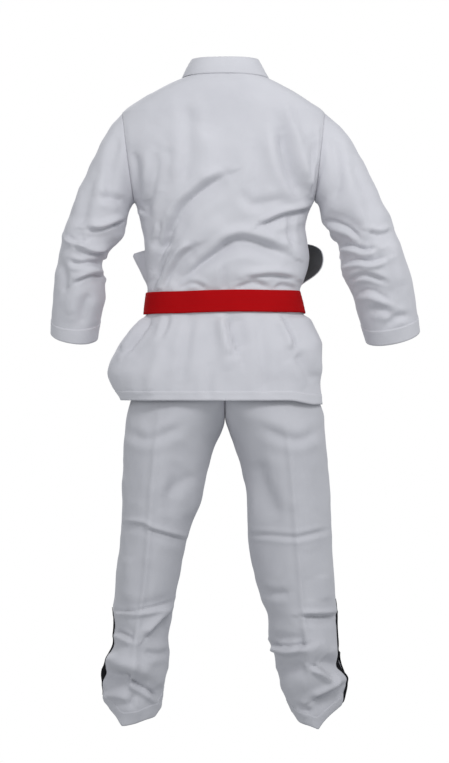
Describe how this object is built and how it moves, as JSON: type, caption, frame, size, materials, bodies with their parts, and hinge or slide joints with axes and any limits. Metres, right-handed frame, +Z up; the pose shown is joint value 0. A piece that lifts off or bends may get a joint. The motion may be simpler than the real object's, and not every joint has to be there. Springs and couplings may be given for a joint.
{
  "type": "martial arts uniform",
  "caption": "Crossed jacket with stand-up collar band, knotted belt, wide sleeves, and trousers with pressed creases and a taped outer seam",
  "frame": {"origin": "middle of the neck opening, at the seam between the collar band and the jacket", "axes": "+Z up along the standing wearer, the wearer faces -Y, +X is the wearer's left side"},
  "size_m": [0.7707, 0.3257, 1.3936],
  "materials": {
    "jacket_cotton": "matte cotton twill",
    "jacket_band": "stitched matte cotton",
    "trouser_cotton": "matte cotton twill",
    "lining": "matte plain weave",
    "belt_cotton": "matte, rows of stitching",
    "elastic": "ribbed matte",
    "side_tape": "matte woven tape"
  },
  "bodies": {
    "jacket": {"jacket_back": "jacket_cotton", "jacket_front_left": "jacket_cotton", "jacket_front_right": "jacket_cotton", "hem_back": "jacket_band", "hem_front_left": "jacket_band", "hem_front_right": "jacket_band", "lapel_left": "jacket_band", "lapel_right": "jacket_band", "collar_band": "jacket_band", "yoke_lining": "lining", "neck_label": "lining", "sleeve_head_left": "jacket_cotton", "sleeve_head_right": "jacket_cotton", "tie_outer_edge": "lining", "tie_outer_seam": "lining", "tie_inner_edge": "lining", "tie_inner_seam": "lining", "belt_inner_wrap": "belt_cotton", "belt_outer_wrap": "belt_cotton", "belt_knot": "belt_cotton"},
    "left_sleeve": {"sleeve_left": "jacket_cotton", "cuff_left": "jacket_band"},
    "right_sleeve": {"sleeve_right": "jacket_cotton", "cuff_right": "jacket_band"},
    "left_belt_tail": {"belt_tail_left": "belt_cotton"},
    "right_belt_tail": {"belt_tail_right": "belt_cotton"},
    "trousers": {"waistband": "trouser_cotton", "waist_elastic": "elastic", "seat_left": "trouser_cotton", "seat_right": "trouser_cotton", "hip_left": "trouser_cotton", "hip_right": "trouser_cotton", "crotch_gusset": "trouser_cotton"},
    "left_leg": {"leg_left": "trouser_cotton", "leg_hem_left": "trouser_cotton", "side_tape_left": "side_tape"},
    "right_leg": {"leg_right": "trouser_cotton", "leg_hem_right": "trouser_cotton", "side_tape_right": "side_tape"}
  },
  "joints": [
    {"name": "left_sleeve_raise", "type": "hinge", "parent": "jacket", "child": "left_sleeve", "pos_m": [0.172, 0, -0.162], "axis": [0, -1, 0], "range_deg": [-3, 48]},
    {"name": "right_sleeve_raise", "type": "hinge", "parent": "jacket", "child": "right_sleeve", "pos_m": [-0.172, 0, -0.162], "axis": [0, 1, 0], "range_deg": [-6, 48]},
    {"name": "left_tail_swing", "type": "hinge", "parent": "jacket", "child": "left_belt_tail", "pos_m": [0.026, -0.133, -0.5035], "axis": [-1, 0, 0], "range_deg": [0, 60]},
    {"name": "right_tail_swing", "type": "hinge", "parent": "jacket", "child": "right_belt_tail", "pos_m": [-0.026, -0.133, -0.5035], "axis": [-1, 0, 0], "range_deg": [0, 60]},
    {"name": "trousers_drop", "type": "slide", "parent": "jacket", "child": "trousers", "axis": [0, 0, -1], "range_m": [0, 0.25]},
    {"name": "left_leg_swing", "type": "hinge", "parent": "trousers", "child": "left_leg", "pos_m": [0.105, 0, -0.708], "axis": [-1, 0, 0], "range_deg": [-28, 28]},
    {"name": "right_leg_swing", "type": "hinge", "parent": "trousers", "child": "right_leg", "pos_m": [-0.105, 0, -0.708], "axis": [-1, 0, 0], "range_deg": [-28, 28]}
  ]
}
